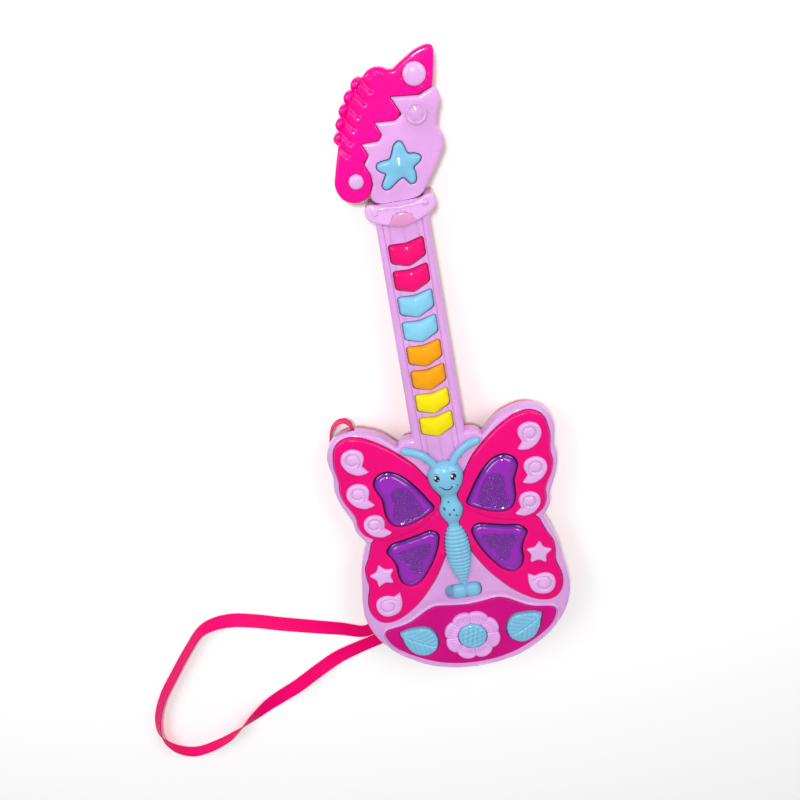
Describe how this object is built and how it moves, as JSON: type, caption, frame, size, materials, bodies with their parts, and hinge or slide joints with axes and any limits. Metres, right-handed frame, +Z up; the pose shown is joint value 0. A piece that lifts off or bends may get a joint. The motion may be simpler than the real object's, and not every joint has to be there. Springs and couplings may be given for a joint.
{
  "type": "toy electric guitar",
  "caption": "Child's toy electric guitar with a butterfly-shaped body, V-shaped neck keys, lit wing windows, press buttons, slide switch and ribbon strap.",
  "frame": {"origin": "on the surface that the guitar lies on, under the middle of its box without the strap", "axes": "+Y along the neck towards the headstock, +Z up out of the decorated face, +X to the right seen from above with the headstock away"},
  "size_m": [0.3367, 0.4919, 0.0372],
  "materials": {
    "lilac_shell": "moulded ABS, glossy lilac",
    "pink_shell": "moulded ABS, glossy hot pink",
    "pink_panel": "moulded ABS plates, glossy hot pink",
    "purple_lens": "tinted clear plastic, moulded texture behind",
    "blue_plastic": "moulded ABS, light blue",
    "lilac_trim": "moulded ABS, glossy lilac",
    "key_pink": "moulded ABS, hot pink",
    "key_blue": "moulded ABS, light blue",
    "key_orange": "moulded ABS, orange",
    "key_yellow": "moulded ABS, yellow",
    "satin_ribbon": "woven satin ribbon, hot pink",
    "steel": "zinc-plated steel",
    "contact_metal": "nickel-plated spring steel",
    "cell_sleeve": "printed cell sleeve, plain",
    "speaker_black": "paper cone in a black frame",
    "circuit_board": "glass-fibre board with green mask",
    "rubber_mat": "silicone rubber",
    "led_clear": "clear epoxy"
  },
  "bodies": {
    "root": {"front_shell": "lilac_shell", "back_shell": "pink_shell", "wing_panel": "pink_panel", "control_panel": "pink_panel", "wing_lens_upper_right": "purple_lens", "wing_lens_upper_left": "purple_lens", "wing_lens_lower_right": "purple_lens", "wing_lens_lower_left": "purple_lens", "wing_snail_top_right": "lilac_trim", "wing_snail_top_left": "lilac_trim", "wing_snail_middle_right": "lilac_trim", "wing_snail_middle_left": "lilac_trim", "wing_snail_low_right": "lilac_trim", "wing_snail_low_left": "lilac_trim", "wing_snail_tail_right": "lilac_trim", "wing_snail_tail_left": "lilac_trim", "wing_star_right": "lilac_trim", "wing_star_left": "lilac_trim", "butterfly_figure": "blue_plastic", "flower_petals": "lilac_trim", "head_shell": "lilac_shell", "head_crest": "pink_panel", "crest_stud_large": "lilac_trim", "crest_stud_small": "lilac_trim", "nut_collar": "lilac_trim", "nut_dome": "lilac_trim", "strap_ribbon": "satin_ribbon", "battery_cell_1": "cell_sleeve", "battery_cell_2": "cell_sleeve", "battery_cell_3": "cell_sleeve", "battery_contact_head": "contact_metal", "battery_contact_tail": "contact_metal", "loudspeaker": "speaker_black", "main_board": "circuit_board", "body_button_mat": "rubber_mat", "neck_board": "circuit_board", "neck_key_mat": "rubber_mat", "wing_led_1": "led_clear", "wing_led_2": "led_clear", "wing_led_3": "led_clear", "wing_led_4": "led_clear", "case_screw_1": "steel", "case_screw_2": "steel", "case_screw_3": "steel", "case_screw_4": "steel"},
    "neck_key_1": {"neck_key_1": "key_pink"},
    "neck_key_2": {"neck_key_2": "key_pink"},
    "neck_key_3": {"neck_key_3": "key_blue"},
    "neck_key_4": {"neck_key_4": "key_blue"},
    "neck_key_5": {"neck_key_5": "key_orange"},
    "neck_key_6": {"neck_key_6": "key_orange"},
    "neck_key_7": {"neck_key_7": "key_yellow"},
    "neck_key_8": {"neck_key_8": "key_yellow"},
    "star_button": {"star_button": "blue_plastic"},
    "flower_button": {"flower_button": "blue_plastic"},
    "leaf_button_right": {"leaf_button_right": "blue_plastic"},
    "leaf_button_left": {"leaf_button_left": "blue_plastic"},
    "slide_switch_knob": {"slide_switch_knob": "blue_plastic"},
    "battery_door": {"battery_door": "pink_shell", "battery_door_screw": "steel"}
  },
  "joints": [
    {"name": "neck_key_1_press", "type": "slide", "parent": "root", "child": "neck_key_1", "axis": [0, 0, -1], "range_m": [0, 0.002], "stiffness_N_per_m": 400, "springref_m": -0.001},
    {"name": "neck_key_2_press", "type": "slide", "parent": "root", "child": "neck_key_2", "axis": [0, 0, -1], "range_m": [0, 0.002], "stiffness_N_per_m": 400, "springref_m": -0.001},
    {"name": "neck_key_3_press", "type": "slide", "parent": "root", "child": "neck_key_3", "axis": [0, 0, -1], "range_m": [0, 0.002], "stiffness_N_per_m": 400, "springref_m": -0.001},
    {"name": "neck_key_4_press", "type": "slide", "parent": "root", "child": "neck_key_4", "axis": [0, 0, -1], "range_m": [0, 0.002], "stiffness_N_per_m": 400, "springref_m": -0.001},
    {"name": "neck_key_5_press", "type": "slide", "parent": "root", "child": "neck_key_5", "axis": [0, 0, -1], "range_m": [0, 0.002], "stiffness_N_per_m": 400, "springref_m": -0.001},
    {"name": "neck_key_6_press", "type": "slide", "parent": "root", "child": "neck_key_6", "axis": [0, 0, -1], "range_m": [0, 0.002], "stiffness_N_per_m": 400, "springref_m": -0.001},
    {"name": "neck_key_7_press", "type": "slide", "parent": "root", "child": "neck_key_7", "axis": [0, 0, -1], "range_m": [0, 0.002], "stiffness_N_per_m": 400, "springref_m": -0.001},
    {"name": "neck_key_8_press", "type": "slide", "parent": "root", "child": "neck_key_8", "axis": [0, 0, -1], "range_m": [0, 0.002], "stiffness_N_per_m": 400, "springref_m": -0.001},
    {"name": "star_button_press", "type": "slide", "parent": "root", "child": "star_button", "axis": [0, 0, -1], "range_m": [0, 0.002], "stiffness_N_per_m": 400, "springref_m": -0.001},
    {"name": "flower_button_press", "type": "slide", "parent": "root", "child": "flower_button", "axis": [0, 0, -1], "range_m": [0, 0.002], "stiffness_N_per_m": 500, "springref_m": -0.001},
    {"name": "leaf_button_right_press", "type": "slide", "parent": "root", "child": "leaf_button_right", "axis": [0, 0, -1], "range_m": [0, 0.002], "stiffness_N_per_m": 500, "springref_m": -0.001},
    {"name": "leaf_button_left_press", "type": "slide", "parent": "root", "child": "leaf_button_left", "axis": [0, 0, -1], "range_m": [0, 0.002], "stiffness_N_per_m": 500, "springref_m": -0.001},
    {"name": "slide_switch_travel", "type": "slide", "parent": "root", "child": "slide_switch_knob", "axis": [1, 0, 0], "range_m": [-0.0036, 0]},
    {"name": "battery_door_hinge", "type": "hinge", "parent": "root", "child": "battery_door", "pos_m": [0, -0.1124, 0.0003], "axis": [1, 0, 0], "range_deg": [0, 80]}
  ]
}
